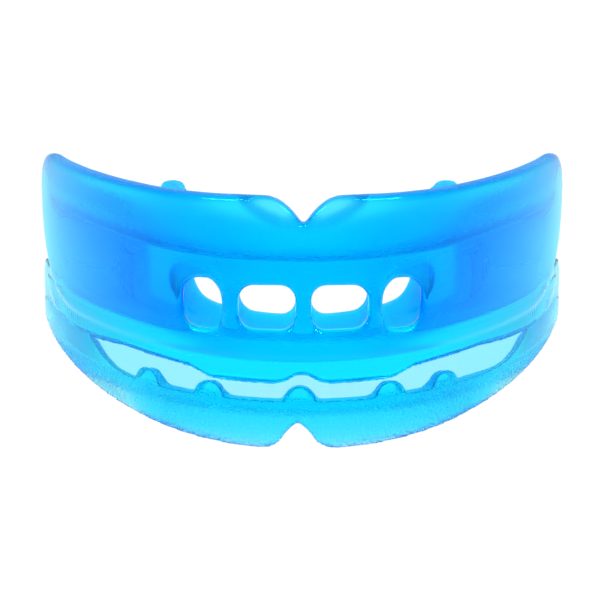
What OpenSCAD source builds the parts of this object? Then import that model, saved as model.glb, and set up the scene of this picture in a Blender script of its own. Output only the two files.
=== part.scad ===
// Double-arch sports mouthguard for braces: upper and lower tooth channels joined by a bite block
// with four air ports. One flexible moulding, divided here into its working zones.
// +X is the wearer's left, -Y is the lip side, +Z is up. The guard stands on its lower rim at z = 0.

/* [Arch] */
// Half of the overall width
arch_half_w = 34.4; // [32:0.1:36]
// Depth of the arms along the bite plane
arch_depth = 33; // [31:0.5:36]
// Radius of the front of the outer face
front_r = 28.4; // [26:0.1:30]
// Angle where the front arc meets the side arcs
front_angle = 43; // [40:1:48]
// Slope of the bite plane down to the back when the guard stands on its lower rim
bite_tilt = 12; // [10:0.5:13]

/* [Lip shield] */
// Height of the upper rim above the middle of the air ports
rim_up = 13.8; // [12.5:0.1:15]
// Wall thickness of the upper shield
shield_t = 2; // [1.8:0.1:2.4]
// Distance of the lower rim below the middle of the air ports
rim_down = 18.2; // [17.4:0.1:19]
// Set-back of the lower shield behind the shoulder
step_in = 0.3; // [0.2:0.1:0.6]
// Thickness of the window in the lower shield
window_t = 1.2; // [0.8:0.1:1.4]
// Depth of the notch in the upper rim
upper_notch = 3.5; // [2:0.1:4]
// Depth of the notch in the lower rim
lower_notch = 3.9; // [2:0.1:4.2]

/* [Bite block] */
// Upper bite face above the middle of the air ports
bite_up = 4.8; // [4.2:0.1:5.2]
// Lower bite face below the middle of the air ports
bite_down = 4.7; // [4.2:0.1:5]
// Depth of the bite block at the front
block_depth = 8.4; // [8:0.1:10]
// Half width of the tongue space at the back
tongue_half_w = 15.2; // [14:0.1:16]
// Wall thickness on the tongue side
tongue_t = 1.7; // [1.4:0.1:2]

/* [Air ports] */
// Height of the two inner ports
port_h = 6; // [5:0.1:6.4]
// Height of the two side ports
side_port_h = 7; // [5:0.1:7.4]
// Width of the two inner ports
port_w = 6.6; // [5.5:0.1:6.8]
// Width of the two side ports
side_port_w = 4.2; // [3.6:0.1:4.6]
// Width of the pillars between the ports
pillar_w = 1.9; // [1.6:0.1:2.4]
// Corner radius of the ports
port_r = 1.4; // [0.8:0.1:1.8]

/* [Bracket ribs] */
// Width of each rib under the window
rib_w = 3.1; // [2:0.1:3.4]
// Height of the ribs above the rim bead
rib_h = 1.7; // [1.6:0.1:2]

/* [Hidden] */

arc_step = 3;
far_y = arch_depth + 12;
far_x = arch_half_w + 8;

// Tongue-side arch, and the rounding of the arms seen from above
tongue_r = 12;
tongue_angle = 50;
end_r = 2.5;

// Levels in the bite frame, whose zero is the middle of the air ports
shoulder_z = -6.9;
bead_z = -12.1;
window_end_z = -9;
window_y = 20.5;
band_low_z = -10.1;
band_side_z = -8.9;
tongue_up_front = 10.5;
tongue_up_back = 8.3;
tongue_up_dip = 8.2;
tongue_down_front = -11.2;
tongue_down_back = -9;

// Insets from the outer face of the lower shield
window_in = step_in + window_t;
band_in = window_in + 1.2;
bead_in = step_in + 2.8;

// Rounded heels of the arms seen from the side
heel_r = 13;
heel_y = arch_depth - 1;
crown_r = 6;
crown_drop = 1.6;
tail_r = 3;

// Half width of the middle zone of the bite block
bridge_half_w = 15;

// Side ports lean towards the middle on their way in
side_port_x = pillar_w / 2 + port_w + pillar_w + side_port_w / 2;
side_port_y = 2.5;
side_port_turn = 5;

rib_angles = [-42.5, -24, 0, 24, 42.5];

// Level where the pillars between the ports end and the bars above and below begin
pillar_top_z = port_h / 2 - 0.3;

// Seat of the bite frame over the table, and the middle of the seated guard from front to back
seat_h = rim_down * cos(bite_tilt);
lobe_x = 3.8;
lobe_bow = front_r - sqrt(pow(front_r, 2) - pow(lobe_x, 2));
front_y = (step_in + lobe_bow) * cos(bite_tilt) - (rim_down - lower_notch / 5) * sin(bite_tilt);
crown_y = heel_y - crown_r;
crown_z = rim_up - crown_drop - crown_r;
back_y = crown_y * cos(bite_tilt) + crown_z * sin(bite_tilt) + crown_r;
middle_y = (front_y + back_y) / 2;

silicone_blue = [0.05, 0.66, 0.97, 0.75];
deep_blue = [0.02, 0.52, 0.93, 0.85];
pale_blue = [0.55, 0.86, 1.0, 0.7];

// Points on an arc; the angle is measured from the front, towards +X
function arc(cx, cy, r, a0, a1) =
    let (n = ceil(abs(a1 - a0) / arc_step))
    [for (i = [0:n]) let (a = a0 + (a1 - a0) * i / n) [cx + r * sin(a), cy - r * cos(a)]];

// Radius of the side arcs that reach half width w
function side_r(r1, turn, w) = (w - r1 * sin(turn)) / (1 - sin(turn));

// Right half of an arch from its front point to far behind the arms, moved inwards by inset
function half_arch(y0, r1, turn, w, inset) =
    let (r2 = side_r(r1, turn, w))
    concat(
        arc(0, y0 + r1, r1 - inset, 0, turn),
        arc((r1 - r2) * sin(turn), y0 + r1 + (r2 - r1) * cos(turn), r2 - inset, turn + arc_step, 90),
        [[w - inset, far_y]]
    );

// Both halves of an outline whose right half starts on the centre line
function both_sides(points) = concat(
    [for (i = [len(points) - 1:-1:1]) [-points[i][0], points[i][1]]],
    points
);

// Lower rim, flat on the table once the guard is tilted into its place
function floor_z(y) = -rim_down + y * tan(bite_tilt);

// Side view of the upper body: shoulder line, rounded heel, rounded crown and upper rim
function body_side() = concat(
    [[-10, shoulder_z]],
    heel_line(90),
    arc(crown_y, crown_z, crown_r, 90, 180),
    [[-10, rim_up + 1]]
);

// Lower edge of the upper body from the front to angle a round the heel
function heel_line(a) = arc(heel_y - heel_r, shoulder_z + heel_r, heel_r, 0, a);

// Upper edge of the rim bead, which climbs at window_y to close the window
bead_line = [
    [-10, bead_z], [window_y - 5, bead_z], [window_y - 1.5, bead_z + 0.7], [window_y, window_end_z],
    [far_y, window_end_z],
];

// Area inside the lip-side face, moved inwards by inset
module lip_area(inset) {
    polygon(both_sides(half_arch(0, front_r, front_angle, arch_half_w, inset)));
}

// Area of the tongue space, grown by t
module tongue_area(t) {
    polygon(both_sides(half_arch(block_depth, tongue_r, tongue_angle, tongue_half_w, -t)));
}

// Plan that rounds the back ends of both arms
module arm_ends() {
    arm_w = arch_half_w - tongue_half_w;
    translate([-far_x, -10])
        square([2 * far_x, arch_depth - end_r + 10]);
    for (side = [-1, 1])
        translate([side * (tongue_half_w + arm_w / 2), arch_depth - end_r]) {
            translate([-arm_w / 2 + end_r, -1])
                square([arm_w - 2 * end_r, end_r + 1]);
            for (x = [-1, 1])
                translate([x * (arm_w / 2 - end_r), 0])
                    circle(r = end_r, $fn = 48);
        }
}

// Plan of a wall on the lip side, between two insets
module lip_ring(from, to) {
    intersection() {
        difference() {
            lip_area(from);
            lip_area(to);
        }
        arm_ends();
    }
}

// Plan of the wall round the tongue space
module tongue_ring() {
    intersection() {
        difference() {
            tongue_area(tongue_t);
            tongue_area(0);
        }
        arm_ends();
    }
}

// Plan of the whole bite block
module block_area() {
    intersection() {
        difference() {
            lip_area(0);
            tongue_area(0);
        }
        arm_ends();
    }
}

// Vertical wall between two levels over a plan shape
module wall(z0, z1) {
    translate([0, 0, z0])
        linear_extrude(height = z1 - z0)
            children();
}

// Everything inside a front view outline drawn in x and z
module front_view(points) {
    translate([0, far_y, 0])
        rotate([90, 0, 0])
            linear_extrude(height = far_y + 10)
                polygon(points);
}

// Everything inside a side view outline drawn in y and z
module side_view(points) {
    translate([-far_x, 0, 0])
        rotate([90, 0, 90])
            linear_extrude(height = 2 * far_x)
                polygon(points);
}

// Puts a zone from the bite frame into its place on the table
module seated() {
    translate([0, -middle_y, seat_h])
        rotate([-bite_tilt, 0, 0])
            children();
}

module upper_lip_shield() {
    bottom = rim_up - upper_notch;
    rim = [
        [0, bottom], [0.35, bottom + 0.25], [1.3, bottom + 0.57 * upper_notch],
        [2.8, bottom + 0.86 * upper_notch], [4.2, rim_up], [9, rim_up - 0.35], [14, rim_up - 0.6],
        [20, rim_up - 0.8], [27, rim_up - 1], [far_x, rim_up - 1.9],
    ];
    outline = concat(both_sides(rim), [[far_x, 0], [-far_x, 0]]);
    color(silicone_blue)
        seated()
            intersection() {
                wall(bite_up, rim_up + 1)
                    lip_ring(0, shield_t);
                side_view(body_side());
                front_view(outline);
            }
}

module upper_tongue_wall() {
    side = concat(
        [[-10, bite_up], [heel_y, bite_up]],
        arc(heel_y - 3, tongue_up_back - 3, 3, 90, 180),
        [[block_depth + 4, tongue_up_front], [-10, tongue_up_front]]
    );
    crest = [
        [0, tongue_up_dip], [3.5, tongue_up_dip + 0.2], [5.2, tongue_up_dip + 1], [7.2, tongue_up_front],
        [far_x, tongue_up_front + 1],
    ];
    outline = concat(both_sides(crest), [[far_x, 0], [-far_x, 0]]);
    color(silicone_blue)
        seated()
            intersection() {
                wall(bite_up, rim_up)
                    tongue_ring();
                side_view(side);
                front_view(outline);
            }
}

module lower_tongue_wall() {
    side = concat(
        [[-10, -bite_down], [-10, tongue_down_front], [block_depth + 4, tongue_down_front]],
        arc(heel_y - 4, tongue_down_back + 3, 3, 0, 90),
        [[heel_y - 1, -bite_down]]
    );
    hem = [
        [0, tongue_down_front + 0.9], [0.5, tongue_down_front + 0.8], [1.4, tongue_down_front],
        [far_x, tongue_down_front - 1],
    ];
    outline = concat(both_sides(hem), [[far_x, 0], [-far_x, 0]]);
    color(silicone_blue)
        seated()
            intersection() {
                wall(-20, -bite_down)
                    tongue_ring();
                side_view(side);
                front_view(outline);
            }
}

// One air port: a rounded slot running from front to back
module port_slot(w, h) {
    translate([0, 25, 0])
        rotate([90, 0, 0])
            linear_extrude(height = 40) {
                square([w - 2 * port_r, h], center = true);
                square([w, h - 2 * port_r], center = true);
                for (x = [-1, 1], z = [-1, 1])
                    translate([x * (w / 2 - port_r), z * (h / 2 - port_r)])
                        circle(r = port_r, $fn = 32);
            }
}

// Layer of the bite block between two levels, pierced by the four ports
module port_layer(z0, z1) {
    color(deep_blue)
        seated()
            difference() {
                wall(z0, z1)
                    intersection() {
                        block_area();
                        translate([-bridge_half_w, -10])
                            square([2 * bridge_half_w, 35]);
                    }
                for (side = [-1, 1]) {
                    translate([side * (pillar_w + port_w) / 2, 0, 0])
                        port_slot(port_w, port_h);
                    translate([side * side_port_x, side_port_y, 0])
                        rotate([0, 0, side * side_port_turn])
                            port_slot(side_port_w, side_port_h);
                }
            }
}

module upper_port_bar() {
    port_layer(pillar_top_z, bite_up);
}

module port_pillars() {
    port_layer(-pillar_top_z, pillar_top_z);
}

module lower_port_bar() {
    port_layer(-bite_down, -pillar_top_z);
}

module bite_pad(side) {
    color(deep_blue)
        seated()
            intersection() {
                wall(-bite_down, bite_up)
                    intersection() {
                        block_area();
                        translate([side > 0 ? bridge_half_w : -bridge_half_w - far_x, -10])
                            square([far_x, far_y]);
                    }
                side_view(body_side());
            }
}

module bite_pad_left() {
    bite_pad(1);
}

module bite_pad_right() {
    bite_pad(-1);
}

module lower_shoulder_band() {
    inner_hem = [
        [0, band_low_z + 0.9], [0.5, band_low_z + 0.8], [1.6, band_low_z], [10, band_low_z],
        [14, band_side_z], [20, band_side_z], [26, band_side_z - 0.6], [30, shoulder_z - 0.6],
        [far_x, shoulder_z - 0.6],
    ];
    outline = concat(both_sides(inner_hem), [[far_x, shoulder_z], [-far_x, shoulder_z]]);
    color(silicone_blue)
        seated() {
            intersection() {
                wall(shoulder_z, -bite_down)
                    lip_ring(0, band_in);
                side_view(body_side());
            }
            intersection() {
                wall(band_low_z - 1, shoulder_z)
                    lip_ring(window_in, band_in);
                front_view(outline);
            }
        }
}

module lower_lip_shield() {
    heel_turn = 50;
    tail_z = shoulder_z + heel_r * (1 - cos(heel_turn));
    side = concat(
        heel_line(heel_turn),
        [for (a = [0:15:90]) [arch_depth - tail_r * (1 - sin(a)), tail_z - tail_r * (1 - cos(a))]],
        [for (i = [len(bead_line) - 1:-1:0]) bead_line[i]],
        [[-10, shoulder_z]]
    );
    color(pale_blue)
        seated()
            intersection() {
                wall(-16, 0)
                    lip_ring(step_in, window_in);
                side_view(side);
            }
}

module lower_rim_bead() {
    side = concat(
        [[-10, floor_z(-10)], [arch_depth + 1, floor_z(arch_depth + 1)]],
        [[arch_depth + 1, window_end_z]],
        [for (i = [len(bead_line) - 2:-1:0]) bead_line[i]]
    );
    base = -rim_down;
    notch = [
        [0, base + lower_notch], [0.6, base + 0.96 * lower_notch], [1.45, base + 0.72 * lower_notch],
        [2.25, base + 0.48 * lower_notch], [lobe_x, base + 0.2 * lower_notch], [5.5, base], [5.5, base - 2],
    ];
    color(silicone_blue)
        seated()
            difference() {
                intersection() {
                    wall(base - 1, -9)
                        lip_ring(step_in, bead_in);
                    side_view(side);
                }
                front_view(both_sides(notch));
            }
}

module lower_bracket_ribs() {
    round_z = bead_z + rib_h - rib_w / 2;
    color(silicone_blue)
        seated()
            for (a = rib_angles)
                intersection() {
                    wall(bead_z, bead_z + rib_h + 1)
                        lip_ring(window_in, band_in);
                    translate([0, front_r, 0])
                        rotate([0, 0, a])
                            translate([0, 6 - front_r, round_z])
                                rotate([90, 0, 0]) {
                                    cylinder(h = 8, d = rib_w, $fn = 48);
                                    translate([-rib_w / 2, -4, 0])
                                        cube([rib_w, 4, 8]);
                                }
                }
}

upper_lip_shield();
upper_tongue_wall();
upper_port_bar();
port_pillars();
lower_port_bar();
bite_pad_left();
bite_pad_right();
lower_shoulder_band();
lower_lip_shield();
lower_rim_bead();
lower_bracket_ribs();
lower_tongue_wall();
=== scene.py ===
"""Looks of a double-arch mouthguard for braces: one clear blue silicone moulding on a pale table.

The moulding is built once as a smooth field of distances in the bite frame, meshed, and then cut into
the zones that the CAD model has. Units are millimetres in the bite frame (x, y from the front face
back, z from the middle of the air ports up) until a piece is placed, and metres after that.
"""

import math

import bmesh
import bpy
import numpy as np
from mathutils import Matrix, Vector


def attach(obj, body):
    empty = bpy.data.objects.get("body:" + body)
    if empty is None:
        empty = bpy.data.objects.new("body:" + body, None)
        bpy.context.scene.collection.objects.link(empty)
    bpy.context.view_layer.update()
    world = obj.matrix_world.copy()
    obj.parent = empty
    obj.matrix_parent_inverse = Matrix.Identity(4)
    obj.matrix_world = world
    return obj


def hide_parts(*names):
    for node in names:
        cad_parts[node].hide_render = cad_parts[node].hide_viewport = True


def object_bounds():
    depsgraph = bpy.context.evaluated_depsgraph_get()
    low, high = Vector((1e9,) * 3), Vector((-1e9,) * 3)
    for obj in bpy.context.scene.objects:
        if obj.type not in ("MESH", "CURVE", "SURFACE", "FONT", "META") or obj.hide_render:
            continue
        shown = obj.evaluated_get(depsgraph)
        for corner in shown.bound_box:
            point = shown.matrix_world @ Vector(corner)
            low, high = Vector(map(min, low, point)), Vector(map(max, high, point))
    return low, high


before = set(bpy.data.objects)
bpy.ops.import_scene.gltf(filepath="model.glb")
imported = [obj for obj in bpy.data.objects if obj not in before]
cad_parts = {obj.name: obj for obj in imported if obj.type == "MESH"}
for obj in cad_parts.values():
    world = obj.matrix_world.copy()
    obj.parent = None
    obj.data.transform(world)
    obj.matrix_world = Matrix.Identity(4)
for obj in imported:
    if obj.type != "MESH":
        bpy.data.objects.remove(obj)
cad_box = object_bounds()

# ------------------------------------------------------------------ sizes, in mm
# Plan curves of the lip side's outer face and the tongue side's inner face
FRONT_R, FRONT_TURN, HALF_W = 28.4, math.radians(43), 34.4
TONGUE_Y, TONGUE_R, TONGUE_TURN, TONGUE_W = 8.4, 12.0, math.radians(50), 15.2
# Heights
RIM_UP, RIM_DOWN, SHOULDER, BEAD_TOP = 13.8, 18.2, -6.9, -12.1
BITE_UP, BITE_DOWN, PILLAR_TOP = 4.8, -4.7, 2.7
# Side view of the back end: heel below, crown above
BACK_Y, HEEL_R, CROWN_R, CROWN_DROP, CROWN_SLOPE = 32.0, 13.0, 6.0, 1.6, 0.0722
# Wall thicknesses, and the upper shield's extra over the molars and the thinning beside its notch that
# paints pale highlight patches there
SHIELD_T, MOLAR_EXTRA, NOTCH_HIGHLIGHT_THINNING = 2.0, 1.2, 0.7
TONGUE_T, TONGUE_END_EXTRA = 1.7, 1.3
# Depths behind the lip side's outer face, where the lower layers start and end
STEP_IN, RIB_START, WINDOW_IN, BAND_IN, BEAD_IN, HEM_EXTRA = 0.3, 0.5, 0.82, 2.7, 3.1, 0.3
# The real moulding is a little uneven from side to side
LEAN_SIDE, LEAN_OUT = 0.95, 0.03
PORT_SHIFT, NOTCH_SHIFT, LOWER_NOTCH_SHIFT, CLOSE_SHIFT = 0.15, 0.15, -0.5, 1.6
# The rim bead starts to climb and close the window this far back
CLOSE_Y = 4.8
# Air ports: two inner ones, and two side ones that are turned and flare outwards
PORT_X, PORT_Z, PORT_W, PORT_H, PORT_R = 4.32, -0.15, 6.7, 5.7, 1.8
SIDE_X, SIDE_Y, SIDE_W, SIDE_H, SIDE_TURN = 11.55, 2.5, 4.2, 7.0, math.radians(5)
SIDE_FLARE, PORT_DRAFT = 0.14, 0.11
BRIDGE = 15.0
# Bracket ribs: places along the arch in degrees from its middle
RIB_ANGLES = (-43.0, -24.0, -0.6, 22.7, 39.1)
RIB_W, RIB_H, RIB_DEPTH = 3.1, 1.7, 2.0
RIB_FOOT, RIB_HEAD = -13.0, -9.0

TILT = math.radians(12)
STEP = 0.3
KERF = 0.006

# ------------------------------------------------------------------ profiles, as (place, height) in mm
# Upper rim, and the lower edge of the thinned patches that paint pale highlights beside the notch, by
# distance from the notch's middle
UPPER_RIM = [
    (0, 10.1), (0.35, 10.45), (1.07, 11.4), (1.6, 12.0), (2.2, 12.5), (2.8, 12.95), (3.3, 13.25),
    (3.9, 13.55), (4.5, 13.75), (5.5, 13.8), (9, 13.45), (14, 13.2), (20, 13.0), (27, 12.8), (36, 12.3),
]
NOTCH_HIGHLIGHT_EDGE = [(0, 9.6), (2.5, 9.8), (4.5, 10.7), (6.0, 11.6), (7.0, 12.4), (8.5, 14.5)]
# Edges of the two tongue walls away from the bite plane: the dip in the middle, and the fall to the back
UPPER_DIP = [(0, 8.2), (2.5, 8.4), (4.5, 9.2), (6.5, 10.3), (8.5, 10.5), (40, 10.5)]
UPPER_FALL = [(0, 10.6), (12, 10.6), (30, 8.5)]
LOWER_DIP = [(0, 10.2), (0.6, 10.4), (1.8, 11.2), (40, 11.2)]
LOWER_FALL = [(0, 11.3), (12, 11.2), (30, 9.4)]
# Hem over the window, by distance from the middle
HEM_EDGE = [
    (0, -8.3), (0.8, -8.4), (1.6, -8.9), (2.5, -9.4), (3.2, -9.55), (5, -9.55), (8.3, -9.5), (10.7, -9.4),
    (12, -8.8), (13.2, -8.3), (17.4, -7.95), (21.3, -7.85), (25.3, -8.4), (31, -8.9), (34.4, -9.7),
]
# Top of the rim bead, by how far behind CLOSE_Y
BEAD_EDGE = [
    (0, BEAD_TOP), (5.5, -12.1), (8, -11.9), (10, -11.3), (11.6, -10.5), (13, -9.5), (14.2, -8.5),
    (40, -8.4),
]
# Half width of the lower notch, by height
LOWER_NOTCH = [
    (-30, 7.0), (-18.2, 4.9), (-17.9, 3.7), (-17.5, 2.6), (-17.0, 2.0), (-16.1, 1.5), (-15.3, 0.85),
    (-14.85, 0.3), (-13.8, -1.0),
]


def seat_matrix():
    """Bite frame in mm to the row frame in metres, with its back edge at the CAD box's back edge."""
    seat_z = RIM_DOWN * math.cos(TILT)
    crown_y = BACK_Y - CROWN_R
    crown_z = RIM_UP - CROWN_DROP - CROWN_R
    back_y = crown_y * math.cos(TILT) + crown_z * math.sin(TILT) + CROWN_R
    shift = cad_box[1].y * 1000 - back_y
    turn = Matrix.Rotation(-TILT, 4, "X")
    return Matrix.Scale(0.001, 4) @ Matrix.Translation((0, shift, seat_z)) @ turn


SEAT = seat_matrix()

# ------------------------------------------------------------------ distances and blends


def smin(a, b, blend):
    """Smooth union."""
    h = np.clip(0.5 + 0.5 * (b - a) / blend, 0, 1)
    return b + (a - b) * h - blend * h * (1 - h)


def smax(a, b, blend):
    """Smooth intersection."""
    return -smin(-a, -b, blend)


def profile(v, points):
    """Height at v of the line through the points."""
    places, heights = zip(*points)
    return np.interp(v, places, heights).astype(np.float32)


def step(v, v0, v1):
    """Smooth step from 0 at v0 to 1 at v1."""
    t = np.clip((v - v0) / (v1 - v0), 0, 1)
    return t * t * (3 - 2 * t)


def past_corner(u, v):
    """Distance from the corner where u and v are both 0: less a radius, a rounded corner."""
    return np.hypot(np.maximum(u, 0), np.maximum(v, 0))


def rounded_box(p, q, half_p, half_q, r):
    """Distance from a rounded rectangle."""
    dp, dq = np.abs(p) - half_p + r, np.abs(q) - half_q + r
    return past_corner(dp, dq) + np.minimum(np.maximum(dp, dq), 0) - r


def arch_distance(x, y, y0, r1, turn, w):
    """Signed distance from an arch curve in plan: positive outside it, negative inside."""
    r2 = (w - r1 * math.sin(turn)) / (1 - math.sin(turn))
    cy1 = y0 + r1
    cx2, cy2 = (r1 - r2) * math.sin(turn), cy1 + (r2 - r1) * math.cos(turn)
    ax = np.abs(x)
    front = np.hypot(ax, y - cy1) - r1
    side = np.hypot(ax - cx2, y - cy2) - r2
    straight = ax - w
    angle = np.arctan2(ax, cy1 - y)
    return np.where(angle <= turn, front, np.where(y < cy2, side, straight))


def lip_depth(x, y):
    """Depth behind the lip side's outer face."""
    return -arch_distance(x, y, 0, FRONT_R, FRONT_TURN, HALF_W)


def tongue_depth(x, y):
    """Depth behind the tongue side's inner face."""
    return arch_distance(x, y, TONGUE_Y, TONGUE_R, TONGUE_TURN, TONGUE_W)


# ------------------------------------------------------------------ parts of the field


def back_end(y, z):
    """Side view of the upper body, as distances: (past the heel, past the whole back end)."""
    heel_y, heel_z = BACK_Y - HEEL_R, SHOULDER + HEEL_R
    heel = past_corner(y - heel_y, heel_z - z) - HEEL_R
    crown_y, crown_z = BACK_Y - CROWN_R, RIM_UP - CROWN_DROP - CROWN_R
    rise = CROWN_SLOPE * np.maximum(crown_y - y, 0)
    crown = past_corner(y - crown_y, z - crown_z - rise) - CROWN_R
    return heel, np.maximum(y - BACK_Y, np.maximum(heel, crown))


def upper_lip_shield(x, z, lip):
    """Outer wall over the upper teeth, thicker over the molars, with the lip notch."""
    from_notch = np.abs(x - NOTCH_SHIFT)
    rim = profile(from_notch, UPPER_RIM)
    # Thinner wall on the inside, either side of the notch, so that it shows paler there: painted
    # highlight patches
    highlight_thin = step(z - profile(from_notch, NOTCH_HIGHLIGHT_EDGE), -1.0, 1.6) * step(rim - z, 0.0, 1.0)
    thick = step(np.abs(x), 15, 23) * (1 - step(z, 7, 11.5))
    thickness = SHIELD_T + MOLAR_EXTRA * thick - NOTCH_HIGHLIGHT_THINNING * highlight_thin
    wall = smax(-lip, lip - thickness, blend=0.9)
    wall = smax(wall, (z - rim) * 0.93, blend=1.0)
    return np.maximum(wall, -z)


def tongue_wall(y, up, tongue, thickness, edge, edge_blend, end):
    """Wall from the bite plane to its edge, with back ends rounded about end: (y, up, radius)."""
    end_y, end_up, end_r = end
    wall = smax(-tongue, tongue - thickness, blend=1.2)
    wall = smax(wall, up - edge, blend=edge_blend)
    wall = np.maximum(wall, -up)
    return smax(wall, past_corner(y - end_y, up - end_up) - end_r, blend=1.0)


def upper_tongue_wall(x, y, z, tongue):
    """Inner wall of the upper channel, thicker at its back ends."""
    thickness = TONGUE_T + TONGUE_END_EXTRA * step(y, 20, 28)
    edge = np.minimum(profile(np.abs(x - NOTCH_SHIFT), UPPER_DIP), profile(y, UPPER_FALL))
    return tongue_wall(y, z, tongue, thickness, edge, 1.4, end=(29.0, 5.6, 3.0))


def lower_tongue_wall(x, y, z, tongue):
    """Inner wall of the lower channel."""
    edge = np.minimum(profile(np.abs(x), LOWER_DIP), profile(y, LOWER_FALL))
    return tongue_wall(y, -z, tongue, TONGUE_T, edge, 1.3, end=(26.0, 4.5, 4.2))


def bite_block(z, lip, tongue):
    """Thick plate between the teeth, over the arch's whole width."""
    block = smax(-lip, -tongue, blend=0.8)
    block = smax(block, z - BITE_UP, blend=0.7)
    return smax(block, BITE_DOWN - z, blend=0.7)


def shoulder_band(z, lip):
    """Thick band under the ports, down to the step on the outer face."""
    band = smax(-lip, lip - BAND_IN, blend=0.6)
    band = smax(band, SHOULDER - z, blend=0.35)
    return np.maximum(band, z)


def hem(x, z, lip, heel):
    """Lower end of the band behind the window. Its lower face falls inwards."""
    edge = profile(np.abs(x), HEM_EDGE)
    part = smax(RIB_START - lip, lip - BAND_IN - HEM_EXTRA, blend=0.5)
    part = smax(part, edge - 0.25 * np.maximum(lip - WINDOW_IN, 0) - z, blend=0.3)
    part = np.maximum(part, z + 5.0)
    return smax(part, heel - 3.0, blend=0.6)


def table_height(y):
    """Height of the table, which the lower rim stands on."""
    return -RIM_DOWN + y * math.tan(TILT)


def window_sheet(y, z, lip, heel):
    """Thin see-through wall over the lower teeth."""
    sheet = smax(STEP_IN - lip, lip - WINDOW_IN, blend=0.5)
    sheet = smax(sheet, table_height(y) - z, blend=0.5)
    return np.maximum(sheet, -1.0 - heel)


def rim_bead(x, y, z, lip, heel):
    """Thick lower rim. It climbs to the hem at the back, later on the wearer's left."""
    close = y - CLOSE_Y - CLOSE_SHIFT * np.sign(x)
    # Thinner towards the bottom, and where it closes the window
    taper = 1.0 * step(-z, 13.0, 14.1) + 1.0 * np.clip((-z - 13.6) / 4.6, 0, 1)
    taper = taper + 1.3 * step(close, 4, 10) * (1 - step(close, 12, 24))
    bead = smax(STEP_IN - lip, lip - BEAD_IN + taper, blend=1.2)
    bead = smax(bead, z - profile(close, BEAD_EDGE), blend=1.0)
    bead = smax(bead, table_height(y) - z, blend=1.2)
    return np.maximum(bead, -1.0 - heel)


def bracket_rib(degrees, x, y, z, lip):
    """Small round-topped post on the inside, above the rim bead."""
    turn = np.degrees(np.arctan2(x, FRONT_R - y))
    along = np.radians(turn - degrees) * (FRONT_R - RIB_DEPTH)
    top = BEAD_TOP + RIB_H - RIB_W / 2
    post = np.hypot(along, np.maximum(z - top, 0)) - RIB_W / 2
    layer = smax(RIB_START - lip, lip - BAND_IN, blend=0.4)
    rib = smax(post, layer, blend=0.7)
    rib = np.maximum(rib, z - RIB_HEAD)
    return np.maximum(rib, RIB_FOOT - z)


def lower_wall(x, y, z, lip, heel, hidden):
    """Everything under the step of the outer face: hem, window, bead and ribs, with the lower notch."""
    frame_part = np.minimum(rim_bead(x, y, z, lip, heel), hem(x, z, lip, heel))
    wall = smin(window_sheet(y, z, lip, heel), frame_part, blend=0.35 * hidden)
    for degrees in RIB_ANGLES:
        wall = smin(wall, bracket_rib(degrees, x, y, z, lip), blend=1.1 * hidden)
    tail = past_corner(y - 30, z + 5.26) - 3.0
    wall = smax(wall, tail, blend=1.0)
    past_notch = np.abs(x - LOWER_NOTCH_SHIFT) - profile(z, LOWER_NOTCH)
    return smax(wall, -0.7 * past_notch, blend=0.7)


def inner_port(side, x, y, z):
    """One of the two middle air ports. Its ceiling falls towards the far end."""
    fall = PORT_DRAFT * np.clip(y, 0, 8)
    return rounded_box(
        x - PORT_SHIFT - side * PORT_X, z - PORT_Z + fall, PORT_W / 2, PORT_H / 2 - fall, PORT_R
    )


def side_port(side, x, y, z):
    """One of the two outer air ports."""
    fall = PORT_DRAFT * np.clip(y, 0, 8)
    flare = SIDE_FLARE * np.clip(y, 0, 9)
    out = side * (x - side * SIDE_X) * math.cos(SIDE_TURN) + (y - SIDE_Y) * math.sin(SIDE_TURN)
    port = rounded_box(
        out - flare / 2, z + fall, (SIDE_W + flare) / 2, SIDE_H / 2 - fall, PORT_R
    )
    # A wide curve at the upper corner next to the middle
    near = past_corner(1.5 - out, z + 0.1) - 3.6
    port = smax(port, near, blend=0.4)
    # At the far end, another one at the lower corner away from the middle
    far = past_corner((out - flare + 0.7) / 3.1, (0.1 - z) / 3.7) - 1
    return smax(port, 2.8 * far - 5 * (1 - step(y, 4, 9)), blend=0.4)


def body_field(x, y, z):
    """The whole moulding: negative inside the silicone. x, y and z broadcast against each other."""
    lip = lip_depth(x, y)
    # The upper back ends of the tongue wall lean a little, as in the photo
    lean = step(z, 5.0, 8.0) * step(y, 16, 28)
    tongue = tongue_depth((x - LEAN_SIDE * lean) * (1 - LEAN_OUT * lean), y)
    heel, back = back_end(y, z)
    # Fillets are full inside the channels and fade towards the outer faces, which stay flush
    hidden = step(lip, 0.5, 1.5) * step(tongue, 0.4, 1.3) + 0.02

    field = np.minimum(upper_lip_shield(x, z, lip), upper_tongue_wall(x, y, z, tongue))
    field = smin(field, bite_block(z, lip, tongue), blend=2.6 * hidden)
    field = smin(field, shoulder_band(z, lip), blend=1.2 * hidden)
    field = smax(field, back, blend=1.4 + 3.6 * step(lip, 2.5, 6))
    field = smin(field, lower_wall(x, y, z, lip, heel, hidden), blend=0.6 * hidden + 0.1)
    field = smin(field, lower_tongue_wall(x, y, z, tongue), blend=1.6 * hidden)

    # The ports go right through. The inner ones are rounder at their far edges
    for side in (-1, 1):
        field = smax(field, -inner_port(side, x, y, z), blend=0.7 + 0.8 * step(y, 4.5, 7.5))
        field = smax(field, -side_port(side, x, y, z), blend=0.7)
    return field


# ------------------------------------------------------------------ meshing


def sample_grid():
    """The field on a grid of points around the moulding, and the grid's first point."""
    xs = np.arange(-36, 36 + STEP / 2, STEP, dtype=np.float32)
    ys = np.arange(-2, 35, STEP, dtype=np.float32)
    zs = np.arange(-20, 16, STEP, dtype=np.float32)
    f = body_field(xs[:, None, None], ys[None, :, None], zs[None, None, :])
    return f.astype(np.float32), np.array([xs[0], ys[0], zs[0]])


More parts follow.
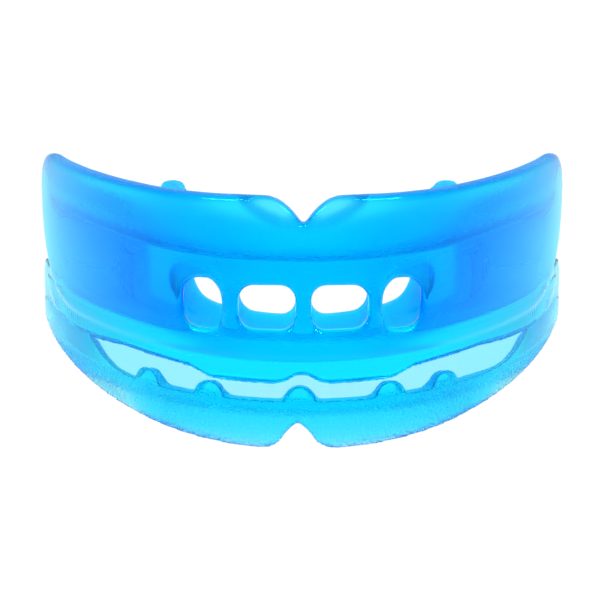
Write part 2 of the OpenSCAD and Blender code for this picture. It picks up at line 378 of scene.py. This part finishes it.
def trilinear(values, origin, points):
    """Grid values at points between the grid's own."""
    g = (points - origin) / STEP
    i = np.clip(np.floor(g).astype(int), 0, np.array(values.shape[:3]) - 2)
    t = (g - i).astype(np.float32)
    out = 0
    for dx in (0, 1):
        for dy in (0, 1):
            for dz in (0, 1):
                w = (
                    (t[:, 0] if dx else 1 - t[:, 0])
                    * (t[:, 1] if dy else 1 - t[:, 1])
                    * (t[:, 2] if dz else 1 - t[:, 2])
                )
                v = values[i[:, 0] + dx, i[:, 1] + dy, i[:, 2] + dz]
                out = out + v * (w[:, None] if v.ndim > 1 else w)
    return out


def surface_nets(f, origin):
    """Vertices and quads of the zero surface of a sampled field."""
    inside = f < 0
    shape = np.array(f.shape) - 1
    total = np.zeros(tuple(shape) + (3,), np.float32)
    count = np.zeros(tuple(shape), np.float32)
    corners = [(a, b, c) for a in (0, 1) for b in (0, 1) for c in (0, 1)]

    def part(array, corner):
        return array[tuple(slice(c, c + n) for c, n in zip(corner, shape))]

    for c0 in corners:
        for axis in range(3):
            if c0[axis]:
                continue
            c1 = list(c0)
            c1[axis] = 1
            f0, f1 = part(f, c0), part(f, c1)
            cross = part(inside, c0) != part(inside, c1)
            at = np.where(cross, f0 / np.where(cross, f0 - f1, 1), 0)
            for k in range(3):
                here = at if k == axis else float(c0[k])
                total[..., k] += np.where(cross, here, 0)
            count += cross
    used = count > 0
    index = np.full(tuple(shape), -1, int)
    index[used] = np.arange(used.sum())
    cells = np.argwhere(used)
    verts = cells + total[used] / count[used][:, None]

    quads = []
    for axis in range(3):
        u, v = (axis + 1) % 3, (axis + 2) % 3
        a = [slice(1, -1)] * 3
        b = [slice(1, -1)] * 3
        a[axis], b[axis] = slice(0, -1), slice(1, None)
        low, high = inside[tuple(a)], inside[tuple(b)]
        for flip, where in ((False, low & ~high), (True, ~low & high)):
            at = np.argwhere(where)
            at[:, u] += 1
            at[:, v] += 1
            ring = []
            for du, dv in ((0, 0), (-1, 0), (-1, -1), (0, -1)):
                cell = at.copy()
                cell[:, u] += du
                cell[:, v] += dv
                ring.append(index[cell[:, 0], cell[:, 1], cell[:, 2]])
            ring = np.stack(ring, 1)
            quads.append(ring[:, ::-1] if flip else ring)
    return verts * STEP + origin, np.concatenate(quads)


field, origin = sample_grid()
grad = np.stack(np.gradient(field, STEP), -1)


def onto_surface(verts, rounds=2, least_slope=0.2):
    """Moves vertices along the field's slope until they lie on its zero surface."""
    for _ in range(rounds):
        g = trilinear(grad, origin, verts)
        d = trilinear(field, origin, verts)
        move = (d / np.maximum((g * g).sum(1), least_slope))[:, None] * g
        verts = verts - np.clip(move, -STEP / 2, STEP / 2)
    return verts


def whole_moulding():
    """The moulding as one closed mesh, with a layer that will mark cut faces."""
    verts, quads = surface_nets(field, origin)
    mesh = bpy.data.meshes.new("moulding")
    mesh.from_pydata(onto_surface(verts).tolist(), [], quads.tolist())
    bm = bmesh.new()
    bm.from_mesh(mesh)
    bpy.data.meshes.remove(mesh)
    bm.faces.layers.int.new("cut")
    return bm


# ------------------------------------------------------------------ cutting into zones


def split(bm, point, normal):
    """Cuts a closed mesh by a plane and closes both halves. Returns (behind, ahead)."""
    halves = []
    normal = Vector(normal)
    for ahead in (False, True):
        half = bm.copy()
        at = Vector(point) + normal * (KERF / 2 if ahead else -KERF / 2)
        geom = half.verts[:] + half.edges[:] + half.faces[:]
        cut = bmesh.ops.bisect_plane(
            half, geom=geom, dist=1e-5, plane_co=at, plane_no=normal,
            clear_inner=ahead, clear_outer=not ahead,
        )
        edges = [e for e in cut["geom_cut"] if isinstance(e, bmesh.types.BMEdge)]
        edges = [e for e in edges if len(e.link_faces) == 1]
        filled = bmesh.ops.triangle_fill(half, use_beauty=True, edges=edges)
        layer = half.faces.layers.int["cut"]
        outward = -normal if ahead else normal
        for g in filled["geom"]:
            if isinstance(g, bmesh.types.BMFace):
                g[layer] = 1
                g.normal_update()
                if g.normal.dot(outward) < 0:
                    g.normal_flip()
        halves.append(half)
    bm.free()
    return halves


def split_height(bm, z):
    """Returns (under z, above z)."""
    return split(bm, (0, 0, z), (0, 0, 1))


def split_side(bm, x):
    """Returns (smaller x, larger x)."""
    return split(bm, (x, 0, 0), (1, 0, 0))


def connected(start, seen):
    """Vertices joined to start by edges. They are added to seen."""
    stack, group = [start], []
    seen.add(start.index)
    while stack:
        v = stack.pop()
        group.append(v)
        for e in v.link_edges:
            o = e.other_vert(v)
            if o.index not in seen:
                seen.add(o.index)
                stack.append(o)
    return group


def islands(bm, samples=50):
    """Splits a mesh in two by which wall its loose parts belong to: (lip side, tongue side)."""
    bm.verts.ensure_lookup_table()
    seen = set()
    lip_side = set()
    for start in bm.verts:
        if start.index in seen:
            continue
        group = connected(start, seen)
        p = np.array([v.co for v in group[:: max(1, len(group) // samples)]])
        lip = lip_depth(p[:, 0], p[:, 1])
        tongue = tongue_depth(p[:, 0], p[:, 1])
        if np.median(lip) < np.median(tongue):
            lip_side.update(v.index for v in group)
    out = []
    for keep_lip in (True, False):
        half = bm.copy()
        half.verts.ensure_lookup_table()
        gone = [v for v in half.verts if (v.index in lip_side) != keep_lip]
        bmesh.ops.delete(half, geom=gone, context="VERTS")
        out.append(half)
    bm.free()
    return out


# The cuts above and below the block, under the shoulder and over the bead keep off the flat faces there
rest, top = split_height(whole_moulding(), BITE_UP + 0.2)
bottom, middle = split_height(rest, BITE_DOWN - 0.2)
zones = {}
zones["upper_lip_shield"], zones["upper_tongue_wall"] = islands(top)
middle, zones["bite_pad_left"] = split_side(middle, BRIDGE)
zones["bite_pad_right"], middle = split_side(middle, -BRIDGE)
middle, zones["upper_port_bar"] = split_height(middle, PILLAR_TOP)
zones["lower_port_bar"], zones["port_pillars"] = split_height(middle, -PILLAR_TOP)
lip_low, zones["lower_tongue_wall"] = islands(bottom)
lip_low, zones["lower_shoulder_band"] = split_height(lip_low, SHOULDER - 0.25)
zones["lower_rim_bead"], zones["lower_lip_shield"] = split_height(lip_low, BEAD_TOP + 0.15)

# ------------------------------------------------------------------ materials
IOR = 1.41
SURFACE_TINT = (0.8, 0.86, 1.0, 1)
REFLECTION_TINT = (0.0, 0.6, 1.0, 1)
INNER_ROUGH = 0.45


def new_material(name):
    """An empty node material and its node tree."""
    mat = bpy.data.materials.new(name)
    mat.use_nodes = True
    nt = mat.node_tree
    nt.nodes.clear()
    return mat, nt


def silicone(name, roughness, rough_spread, bump, grain, density, green):
    """Clear blue silicone whose depth of colour comes from its thickness."""
    mat, nt = new_material(name)
    n, link = nt.nodes, nt.links.new
    out = n.new("ShaderNodeOutputMaterial")
    glass = n.new("ShaderNodeBsdfPrincipled")
    glass.inputs["Base Color"].default_value = SURFACE_TINT
    glass.inputs["Specular Tint"].default_value = REFLECTION_TINT
    glass.inputs["Transmission Weight"].default_value = 1.0
    glass.inputs["IOR"].default_value = IOR

    # A fine grain varies the roughness and dents the surface
    coord = n.new("ShaderNodeTexCoord")
    fine = n.new("ShaderNodeTexNoise")
    fine.inputs["Scale"].default_value = grain
    fine.inputs["Detail"].default_value = 3.0
    link(coord.outputs["Object"], fine.inputs["Vector"])
    rough = n.new("ShaderNodeMapRange")
    rough.inputs["To Min"].default_value = roughness
    rough.inputs["To Max"].default_value = roughness + rough_spread
    link(fine.outputs["Fac"], rough.inputs["Value"])
    dents = n.new("ShaderNodeBump")
    dents.inputs["Strength"].default_value = 1.0
    dents.inputs["Distance"].default_value = bump
    link(fine.outputs["Fac"], dents.inputs["Height"])
    link(dents.outputs["Normal"], glass.inputs["Normal"])

    # Faces inside the channels are rougher than the outer face
    inner = n.new("ShaderNodeAttribute")
    inner.attribute_name = "inner_face"
    matt = n.new("ShaderNodeMath")
    matt.operation = "MULTIPLY_ADD"
    matt.inputs[1].default_value = INNER_ROUGH
    link(inner.outputs["Fac"], matt.inputs[0])
    link(rough.outputs["Result"], matt.inputs[2])
    link(matt.outputs[0], glass.inputs["Roughness"])

    # Cut faces between zones don't exist on the real moulding, so they are see-through
    clear = n.new("ShaderNodeBsdfTransparent")
    joint = n.new("ShaderNodeAttribute")
    joint.attribute_name = "inner_joint"
    mix = n.new("ShaderNodeMixShader")
    link(joint.outputs["Fac"], mix.inputs[0])
    link(glass.outputs[0], mix.inputs[1])
    link(clear.outputs[0], mix.inputs[2])
    link(mix.outputs[0], out.inputs["Surface"])

    tint = n.new("ShaderNodeVolumeAbsorption")
    tint.inputs["Color"].default_value = (0.0, green, 1.0, 1)
    tint.inputs["Density"].default_value = density
    link(tint.outputs[0], out.inputs["Volume"])
    return mat


materials = {
    "clear_blue_silicone": silicone(
        "clear_blue_silicone", roughness=0.02, rough_spread=0.03, bump=0.00001, grain=900.0,
        density=1800.0, green=0.970,
    ),
    "frosted_blue_silicone": silicone(
        "frosted_blue_silicone", roughness=0.2, rough_spread=0.2, bump=0.0002, grain=2600.0,
        density=2100.0, green=0.945,
    ),
}

# ------------------------------------------------------------------ pieces


def haze(points):
    """How rough a place is: 0 on the outer face, more inside, far back, in the ports and high up."""
    x, y, z = points[:, 0], points[:, 1], points[:, 2]
    lip = lip_depth(x, y)
    inside = step(lip + 0.45 * step(z, 0.0, 4.0), 0.6, 1.4)
    far = 0.5 * step(y, 8.0, 15.0)
    low_to_high = 0.5 + far + (0.5 - far) * step(z, -8.0, -4.5)
    in_port = step(-np.abs(z), -4.2, -3.6) * step(-np.abs(x), -15.0, -14.0)
    return inside * low_to_high * (1 + 0.8 * in_port) * (1 + 0.5 * step(lip, 2.5, 6.0))


def corner_normals(mesh, points, cut):
    """Normals for each face corner: the field's own slope, or the face's own where it was cut."""
    face_of = np.repeat(np.arange(len(mesh.polygons)), [p.loop_total for p in mesh.polygons])
    vert_of = np.zeros(len(mesh.loops), int)
    mesh.loops.foreach_get("vertex_index", vert_of)
    smooth = trilinear(grad, origin, points)
    smooth /= np.maximum(np.linalg.norm(smooth, axis=1, keepdims=True), 1e-6)
    flat = np.zeros(len(mesh.polygons) * 3, np.float32)
    mesh.polygons.foreach_get("normal", flat)
    flat = flat.reshape(-1, 3)
    normals = np.where(cut[face_of][:, None], flat[face_of], smooth[vert_of])
    against = (normals * flat[face_of]).sum(1) < 0.3
    normals[against] = flat[face_of][against]
    return normals


def finish_piece(name, bm, material, slot, *nodes):
    """Turns a zone into a placed object with smooth normals and its material's attributes."""
    mesh = bpy.data.meshes.new(name)
    layer = bm.faces.layers.int["cut"]
    cut = np.array([f[layer] for f in bm.faces], bool)
    bm.to_mesh(mesh)
    bm.free()
    points = np.zeros(len(mesh.vertices) * 3, np.float32)
    mesh.vertices.foreach_get("co", points)
    points = points.reshape(-1, 3)
    normals = corner_normals(mesh, points, cut)

    mesh.transform(SEAT)
    mesh.polygons.foreach_set("use_smooth", np.ones(len(mesh.polygons), bool))
    turn = np.array(SEAT.to_3x3().normalized())
    mesh.normals_split_custom_set((normals @ turn.T).tolist())
    flag = mesh.attributes.new("inner_joint", "FLOAT", "FACE")
    flag.data.foreach_set("value", cut.astype(np.float32))
    inside = mesh.attributes.new("inner_face", "FLOAT", "POINT")
    inside.data.foreach_set("value", haze(points).astype(np.float32))
    mesh.materials.append(material)
    mesh.update()

    obj = bpy.data.objects.new(name, mesh)
    bpy.context.scene.collection.objects.link(obj)
    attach(obj, "root")
    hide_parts(*nodes)


for name, bm in zones.items():
    nodes = [name]
    if name == "lower_lip_shield":
        nodes.append("lower_bracket_ribs")
    slot = "frosted_blue_silicone" if name == "lower_rim_bead" else "clear_blue_silicone"
    finish_piece(f"{name}_moulded", bm, materials[slot], slot, *nodes)

# ------------------------------------------------------------------ stage, light and camera, in metres
TABLE_HALF, TABLE_Z, TABLE_GLOW = 1.2, -0.0004, 1.05
STUDIO_GLOW = 0.9
SOFTBOX_X, SOFTBOX_Y, SOFTBOX_Z, SOFTBOX_SIDE, SOFTBOX_WATTS = 0.45, -0.35, 0.5, 0.25, 8
GUARD_MIDDLE = (0, 0, 0.015)
CAMERA_TARGET = Vector((-0.00025, 0.004545, 0.00812))
CAMERA_DISTANCE, CAMERA_ELEVATION, CAMERA_LENS = 0.4, math.radians(29), 192.3

scene = bpy.context.scene


def pale_table():
    """A white plane just under the guard that glows a little, as in a photographer's light box."""
    signs = ((-1, -1), (1, -1), (1, 1), (-1, 1))
    corners = [(x * TABLE_HALF, y * TABLE_HALF, TABLE_Z) for x, y in signs]
    mesh = bpy.data.meshes.new("table")
    mesh.from_pydata(corners, [], [(0, 1, 2, 3)])
    table = bpy.data.objects.new("table", mesh)
    scene.collection.objects.link(table)
    mat, nt = new_material("pale_table")
    out = nt.nodes.new("ShaderNodeOutputMaterial")
    glow = nt.nodes.new("ShaderNodeEmission")
    glow.inputs["Color"].default_value = (1, 1, 1, 1)
    glow.inputs["Strength"].default_value = TABLE_GLOW
    nt.links.new(glow.outputs[0], out.inputs["Surface"])
    mesh.materials.append(mat)


def studio():
    """Even white light from all around."""
    world = bpy.data.worlds.new("studio")
    scene.world = world
    world.use_nodes = True
    sky = world.node_tree.nodes["Background"]
    sky.inputs["Color"].default_value = (1, 1, 1, 1)
    sky.inputs["Strength"].default_value = STUDIO_GLOW


def softbox(name, where):
    """A square lamp that shines at the guard."""
    light = bpy.data.lights.new(name, "AREA")
    light.shape = "RECTANGLE"
    light.size, light.size_y = SOFTBOX_SIDE, SOFTBOX_SIDE
    light.energy = SOFTBOX_WATTS
    obj = bpy.data.objects.new(name, light)
    scene.collection.objects.link(obj)
    obj.location = where
    obj.rotation_mode = "QUATERNION"
    obj.rotation_quaternion = (Vector(GUARD_MIDDLE) - Vector(where)).to_track_quat("-Z", "Y")


def camera():
    """The photo's view: from in front and above, with a long lens."""
    data = bpy.data.cameras.new("camera")
    data.lens = CAMERA_LENS
    data.sensor_width = 36
    data.clip_start, data.clip_end = 0.01, 10
    cam = bpy.data.objects.new("camera", data)
    scene.collection.objects.link(cam)
    to_camera = Vector((0, -math.cos(CAMERA_ELEVATION), math.sin(CAMERA_ELEVATION)))
    cam.location = CAMERA_TARGET + to_camera * CAMERA_DISTANCE
    cam.rotation_mode = "QUATERNION"
    cam.rotation_quaternion = (-to_camera).to_track_quat("-Z", "Y")
    scene.camera = cam


pale_table()
studio()
softbox("left_softbox", (-SOFTBOX_X, SOFTBOX_Y, SOFTBOX_Z))
softbox("right_softbox", (SOFTBOX_X, SOFTBOX_Y, SOFTBOX_Z))
camera()

# Light passes through many clear faces before it leaves the moulding
scene.view_settings.view_transform = "Standard"
scene.cycles.max_bounces = 48
scene.cycles.transmission_bounces = 48
scene.cycles.transparent_max_bounces = 64
